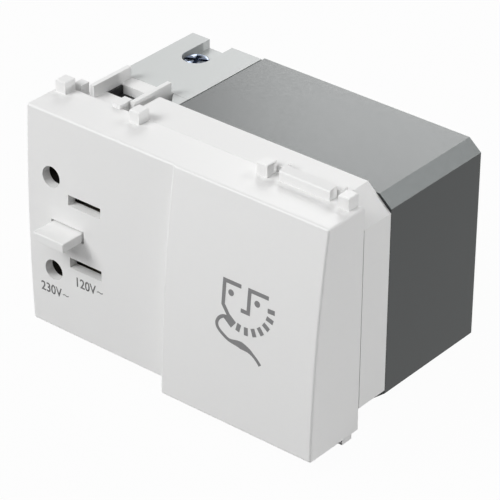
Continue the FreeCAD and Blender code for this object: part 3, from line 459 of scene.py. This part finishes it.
def turned_screw(size):
    """A cheese-head screw standing on its tip, with a rounded rim and a thread."""
    radius, height = size.x / 2, size.z
    head, rim, rim_steps = 1.5 * MM, 0.35 * MM, 6
    core, crest, pitch = 1.15 * MM, 1.42 * MM, 0.7 * MM
    crest_start, crest_end = 0.45, 0.55
    head_chamfer, tip_chamfer, plain_tip = 0.1 * MM, 0.25 * MM, 0.4 * MM
    segments = 48
    shape = bmesh.new()
    outline = [(0.0, height)]
    for step in range(rim_steps + 1):
        turn = math.pi / 2 * step / rim_steps
        outline.append((radius - rim + rim * math.sin(turn), height - rim + rim * math.cos(turn)))
    level = height - head
    outline += [(radius, level + head_chamfer), (radius - head_chamfer, level), (core, level)]
    while level - pitch > plain_tip:
        outline += [(crest, level - pitch * crest_start), (crest, level - pitch * crest_end)]
        level -= pitch
        outline.append((core, level))
    outline += [(core, tip_chamfer), (core - tip_chamfer, 0.0), (0.0, 0.0)]
    rings = []
    for distance, rise in outline:
        if distance == 0.0:
            rings.append([shape.verts.new((0, 0, rise))])
            continue
        rings.append([shape.verts.new((distance * math.cos(turn), distance * math.sin(turn), rise))
                      for turn in (2 * math.pi * step / segments for step in range(segments))])
    for upper, lower in zip(rings, rings[1:]):
        for step in range(segments):
            following = (step + 1) % segments
            corners = [upper[step % len(upper)], lower[step % len(lower)],
                       lower[following % len(lower)], upper[following % len(upper)]]
            shape.faces.new(list(dict.fromkeys(corners)))
    bmesh.ops.recalc_face_normals(shape, faces=shape.faces)
    for face in shape.faces:
        face.smooth = True
    blank = bpy.data.objects.new("screw_blank", mesh_of("screw_blank", shape))
    bpy.context.scene.collection.objects.link(blank)
    return blank


def cut_recess(screw, diameter):
    """Cut a driver slot right across the head and a shorter one square to it."""
    top = max(vert.co.z for vert in screw.data.vertices)
    slant = math.radians(25)
    long_slot = (diameter * 1.2, 0.75 * MM, 0.7 * MM, slant)
    short_slot = (diameter * 0.62, 0.7 * MM, 0.95 * MM, slant + math.pi / 2)
    shape = bmesh.new()
    for span, width, depth, turn in (long_slot, short_slot):
        place = (Matrix.Rotation(turn, 4, "Z") @ Matrix.Translation((0, 0, top))
                 @ Matrix.Diagonal((span, width, depth * 2, 1)))
        bmesh.ops.create_cube(shape, size=1.0, matrix=place)
    tool = bpy.data.objects.new("recess", mesh_of("recess", shape))
    bpy.context.scene.collection.objects.link(tool)
    cut = screw.modifiers.new("recess", "BOOLEAN")
    cut.object = tool
    cut.operation = "DIFFERENCE"
    cut.solver = "EXACT"
    cut.use_self = True
    bpy.context.view_layer.update()
    screw.data = bpy.data.meshes.new_from_object(screw.evaluated_get(bpy.context.evaluated_depsgraph_get()))
    screw.modifiers.clear()
    bpy.data.objects.remove(tool)


# Stage

def looked_at(nodes, links):
    """One where the camera looks, straight or by way of gloss or glass, and otherwise zero."""
    path = nodes.new("ShaderNodeLightPath")
    seen = path.outputs["Is Camera Ray"]
    for name in ("Is Glossy Ray", "Is Transmission Ray"):
        either = nodes.new("ShaderNodeMath")
        either.operation = "MAXIMUM"
        links.new(seen, either.inputs[0])
        links.new(path.outputs[name], either.inputs[1])
        seen = either.outputs["Value"]
    return seen


def lay_floor(level):
    """A pale floor that the camera sees nearly white."""
    reach, grey, whiteness = 4.0, 0.4, 0.97
    shape = bmesh.new()
    bmesh.ops.create_grid(shape, x_segments=1, y_segments=1, size=reach)
    mesh = mesh_of("floor", shape)
    floor = bpy.data.objects.new("floor", mesh)
    floor.location.z = level
    bpy.context.scene.collection.objects.link(floor)
    material, nodes, links = blank_material("floor_white")
    shader = nodes["Principled BSDF"]
    shader.inputs["Base Color"].default_value = (grey, grey, grey, 1)
    shader.inputs["Roughness"].default_value = 0.8
    glow = nodes.new("ShaderNodeEmission")
    glow.inputs["Strength"].default_value = 1.0
    seen = nodes.new("ShaderNodeMath")
    seen.operation = "MULTIPLY"
    seen.inputs[1].default_value = whiteness
    blend = nodes.new("ShaderNodeMixShader")
    links.new(looked_at(nodes, links), seen.inputs[0])
    links.new(seen.outputs["Value"], blend.inputs["Fac"])
    links.new(shader.outputs["BSDF"], blend.inputs[1])
    links.new(glow.outputs["Emission"], blend.inputs[2])
    links.new(blend.outputs["Shader"], nodes["Material Output"].inputs["Surface"])
    mesh.materials.append(material)


def light_sky(scene, level):
    """An even sky, white to the camera."""
    world = bpy.data.worlds.new("studio")
    scene.world = world
    world.use_nodes = True
    nodes, links = world.node_tree.nodes, world.node_tree.links
    even = nodes["Background"]
    even.inputs["Strength"].default_value = level
    even.inputs["Color"].default_value = (1, 1, 1, 1)
    white = nodes.new("ShaderNodeBackground")
    white.inputs["Color"].default_value = (1, 1, 1, 1)
    blend = nodes.new("ShaderNodeMixShader")
    links.new(looked_at(nodes, links), blend.inputs["Fac"])
    links.new(even.outputs["Background"], blend.inputs[1])
    links.new(white.outputs["Background"], blend.inputs[2])
    links.new(blend.outputs["Shader"], nodes["World Output"].inputs["Surface"])


def soft_box(name, place, watts, side):
    """A square area light that faces the object."""
    lamp = bpy.data.lights.new(name, "AREA")
    lamp.shape = "SQUARE"
    lamp.size = side
    lamp.energy = watts
    holder = bpy.data.objects.new(name, lamp)
    holder.location = place
    holder.rotation_euler = (-Vector(place)).to_track_quat("-Z", "Y").to_euler()
    bpy.context.scene.collection.objects.link(holder)


def place_camera(scene):
    """A long lens to the right of the front and above it."""
    place = (0.279148, -0.329873, 0.261018)
    azimuth, elevation, roll = math.radians(39.27), math.radians(31.03), math.radians(0.48)
    back = Vector((math.sin(azimuth) * math.cos(elevation), -math.cos(azimuth) * math.cos(elevation),
                   math.sin(elevation)))
    level = Vector((0, 0, 1)).cross(back).normalized()
    upright = back.cross(level)
    right = level * math.cos(roll) + upright * math.sin(roll)
    up = upright * math.cos(roll) - level * math.sin(roll)
    lens = bpy.data.cameras.new("camera")
    lens.lens = 209.86
    lens.sensor_width = 36.0
    lens.clip_start = 0.01
    camera = bpy.data.objects.new("camera", lens)
    turn = Matrix((right, up, back)).transposed().to_4x4()
    camera.matrix_world = Matrix.Translation(place) @ turn
    scene.collection.objects.link(camera)
    scene.camera = camera


# Operators, one for each piece or group of like pieces, and one for the stage

class SOCKET_OT_finish_mouldings(bpy.types.Operator):
    """Give the cover, the plunger and the frame their white finish"""
    bl_idname = "shaver_socket.finish_mouldings"
    bl_label = "Finish white mouldings"

    def execute(self, context):
        finish = context.scene.socket_finish
        dress(moulded("cover_plastic", finish.cover, roughness=0.33, gloss=0.36), "front_cover", "plunger")
        dress(moulded("frame_plastic", finish.inner_frame, roughness=0.40, gloss=0.3), "mid_frame")
        return {"FINISHED"}


class SOCKET_OT_finish_rear(bpy.types.Operator):
    """Give the transformer case and the terminal housing their grey finish"""
    bl_idname = "shaver_socket.finish_rear"
    bl_label = "Finish rear housings"

    def execute(self, context):
        finish = context.scene.socket_finish
        dress(moulded("case_plastic", finish.case, roughness=0.24, relief=0.004 * MM, grain=9.0,
                      contrast=0.015, gloss=0.38, sheen_tint=(0.93, 1, 1)), "transformer_case")
        dress(moulded("housing_plastic", finish.housing, roughness=0.40), "terminal_housing")
        return {"FINISHED"}


class SOCKET_OT_build_housing_aprons(bpy.types.Operator):
    """Build the three-cornered webs that carry the housing's top and bottom forward beside the latch"""
    bl_idname = "shaver_socket.build_housing_aprons"
    bl_label = "Build housing aprons"

    def execute(self, context):
        low, high = (Vector(corner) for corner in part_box("terminal_housing"))
        inset = 0.05 * MM
        latch_side, case_side = -18.05 * MM, high.x - inset
        frame_rear, foot = 7.65 * MM, low.y
        point, thick, edge_round = 0.3 * MM, 1.4 * MM, 0.12 * MM
        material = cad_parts["terminal_housing"].data.materials[0]
        plan = [(latch_side, foot), (latch_side, foot - point), (case_side - point, frame_rear),
                (case_side, frame_rear), (case_side, foot)]
        for name, level, way in (("housing_apron_upper", high.z, -1), ("housing_apron_lower", low.z, 1)):
            shape = bmesh.new()
            faces = [[shape.verts.new((across, depth, level + way * fall)) for across, depth in plan]
                     for fall in (0.0, thick)]
            for face in faces:
                shape.faces.new(face)
            for index in range(len(plan)):
                following = (index + 1) % len(plan)
                shape.faces.new((faces[0][index], faces[0][following], faces[1][following], faces[1][index]))
            bmesh.ops.recalc_face_normals(shape, faces=shape.faces)
            bmesh.ops.bevel(shape, geom=shape.edges[:], offset=edge_round, segments=2, profile=0.5,
                            affect="EDGES")
            new_piece(name, mesh_of(name, shape), material)
        return {"FINISHED"}


class SOCKET_OT_finish_switchgear(bpy.types.Operator):
    """Give the contacts, their insert and the clamps their finish"""
    bl_idname = "shaver_socket.finish_switchgear"
    bl_label = "Finish switchgear"

    def execute(self, context):
        finish = context.scene.socket_finish
        dress(moulded("insert_plastic", finish.insert, roughness=0.6, grain=8.0), "contact_block")
        dress(metal("contact_brass", finish.brass, roughness=0.32), "contact_bridge", "switch_contact_left",
              "switch_contact_right", "pin_contact_upper", "pin_contact_lower", "blade_contact_upper",
              "blade_contact_lower", "terminal_upper", "terminal_lower")
        return {"FINISHED"}


class SOCKET_OT_build_plunger_spring(bpy.types.Operator):
    """Build the plunger's spring as a piece of its own, a copy of the CAD spring in spring wire"""
    bl_idname = "shaver_socket.build_plunger_spring"
    bl_label = "Build plunger spring"

    def execute(self, context):
        node, press = "plunger_spring", "plunger_press"
        wire = metal("spring_wire", context.scene.socket_finish.spring, roughness=0.3)
        coil = new_piece("plunger_spring_coil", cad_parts[node].data.copy(), wire)
        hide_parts(node)
        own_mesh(coil)
        return {"FINISHED"}


class SOCKET_OT_finish_transformer(bpy.types.Operator):
    """Give the core, the former, the windings, the tapes and the protector their finish"""
    bl_idname = "shaver_socket.finish_transformer"
    bl_label = "Finish transformer"

    def execute(self, context):
        finish = context.scene.socket_finish
        dress(metal("core_sheet", finish.core, roughness=0.45, streaks=14.0, relief=0.03 * MM),
              "core_e", "core_i")
        dress(moulded("former_plastic", finish.former, roughness=0.45), "bobbin")
        dress(metal("winding_wire", finish.copper, roughness=0.35, streaks=5.0, relief=0.05 * MM),
              "primary_winding", "secondary_winding")
        dress(moulded("tape_film", finish.tape, roughness=0.3), "primary_tape", "secondary_tape")
        dress(moulded("protector_plastic", finish.protector, roughness=0.5), "thermal_cutout")
        return {"FINISHED"}


class SOCKET_OT_build_clamp_screws(bpy.types.Operator):
    """Build the two clamp screws with rounded, cross-slotted heads and threads"""
    bl_idname = "shaver_socket.build_clamp_screws"
    bl_label = "Build clamp screws"

    def execute(self, context):
        # The screws' base is the plating's own blue tint, darkened as painted shade for the dark well round
        # the heads
        zinc = metal("zinc_plate", context.scene.socket_finish.zinc, roughness=0.16, relief=0.002 * MM)
        for name, side in (("terminal_screw_upper", 1), ("terminal_screw_lower", -1)):
            low, high = (Vector(corner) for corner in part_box(name))
            blank = turned_screw(high - low)
            cut_recess(blank, high.x - low.x)
            turn = Matrix.Identity(4) if side > 0 else Matrix.Rotation(math.pi, 4, "X")
            foot = Vector(((low.x + high.x) / 2, (low.y + high.y) / 2, low.z if side > 0 else high.z))
            blank.data.transform(Matrix.Translation(foot) @ turn)
            screw = new_piece(name + "_detail", blank.data.copy(), zinc)
            bpy.data.objects.remove(blank)
            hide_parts(name)
        return {"FINISHED"}


class SOCKET_OT_print_ratings(bpy.types.Operator):
    """Print the voltage beside each pair of openings"""
    bl_idname = "shaver_socket.print_ratings"
    bl_label = "Print voltage marks"

    def execute(self, context):
        marks = context.scene.socket_marks
        shade, wave_gap, wave_drop = 0.55, 0.3 * MM, 0.55
        ink = moulded("rating_ink", tuple(level * shade for level in context.scene.socket_finish.ink),
                      roughness=0.5)
        for name, words, left, top in (("rating_round_pins", "230V", -31.05 * MM, -12.85 * MM),
                                       ("rating_flat_blades", "120V", -22.28 * MM, -8.85 * MM)):
            shape, right = figures(words, left, top, marks.figure_height)
            draw_wave(shape, right + wave_gap, top - marks.figure_height * wave_drop, marks.wave_width)
            printed(name, shape, ink)
        return {"FINISHED"}


class SOCKET_OT_print_shaver_sign(bpy.types.Operator):
    """Print the plain sign for a shaver outlet on the leaning field"""
    bl_idname = "shaver_socket.print_shaver_sign"
    bl_label = "Print shaver sign"

    def execute(self, context):
        marks = context.scene.socket_marks
        shape = bmesh.new()
        draw_face(shape, marks)
        draw_shaver(shape, marks)
        printed("shaver_sign", shape, moulded("sign_ink", context.scene.socket_finish.ink, roughness=0.5))
        return {"FINISHED"}


class SOCKET_OT_set_stage(bpy.types.Operator):
    """Set the white floor, the soft light and the camera"""
    bl_idname = "shaver_socket.set_stage"
    bl_label = "Set stage"

    def execute(self, context):
        scene = context.scene
        scene.view_settings.view_transform = "Standard"
        stage = scene.socket_stage
        lay_floor(CAD_BOX[0][2])
        light_sky(scene, stage.sky)
        for name, (place, side) in SOFT_BOXES.items():
            soft_box(name + "_soft_box", place, getattr(stage, name), side)
        place_camera(scene)
        return {"FINISHED"}


class SOCKET_PT_panel(bpy.types.Panel):
    """Lists the steps that finish the socket"""
    bl_idname = "SOCKET_PT_panel"
    bl_label = "Shaver socket"
    bl_space_type = "VIEW_3D"
    bl_region_type = "UI"
    bl_category = "Shaver socket"

    def draw(self, context):
        for operator in OPERATORS:
            self.layout.operator(operator.bl_idname)


GROUPS = {"socket_finish": SocketFinish, "socket_marks": SocketMarks, "socket_stage": SocketStage}
OPERATORS = (SOCKET_OT_finish_mouldings, SOCKET_OT_finish_rear, SOCKET_OT_build_housing_aprons,
             SOCKET_OT_finish_switchgear, SOCKET_OT_build_plunger_spring, SOCKET_OT_finish_transformer,
             SOCKET_OT_build_clamp_screws, SOCKET_OT_print_ratings, SOCKET_OT_print_shaver_sign,
             SOCKET_OT_set_stage)


def register():
    for group in GROUPS.values():
        bpy.utils.register_class(group)
    for name, group in GROUPS.items():
        setattr(bpy.types.Scene, name, PointerProperty(type=group))
    for cls in OPERATORS + (SOCKET_PT_panel,):
        bpy.utils.register_class(cls)


def unregister():
    for cls in reversed(OPERATORS + (SOCKET_PT_panel,)):
        bpy.utils.unregister_class(cls)
    for name, group in GROUPS.items():
        delattr(bpy.types.Scene, name)
        bpy.utils.unregister_class(group)


def main():
    register()
    bpy.ops.shaver_socket.finish_mouldings()
    bpy.ops.shaver_socket.finish_rear()
    bpy.ops.shaver_socket.build_housing_aprons()
    bpy.ops.shaver_socket.finish_switchgear()
    bpy.ops.shaver_socket.build_plunger_spring()
    bpy.ops.shaver_socket.finish_transformer()
    bpy.ops.shaver_socket.build_clamp_screws()
    bpy.ops.shaver_socket.print_ratings()
    bpy.ops.shaver_socket.print_shaver_sign()
    bpy.ops.shaver_socket.set_stage()


if __name__ == "__main__":
    main()
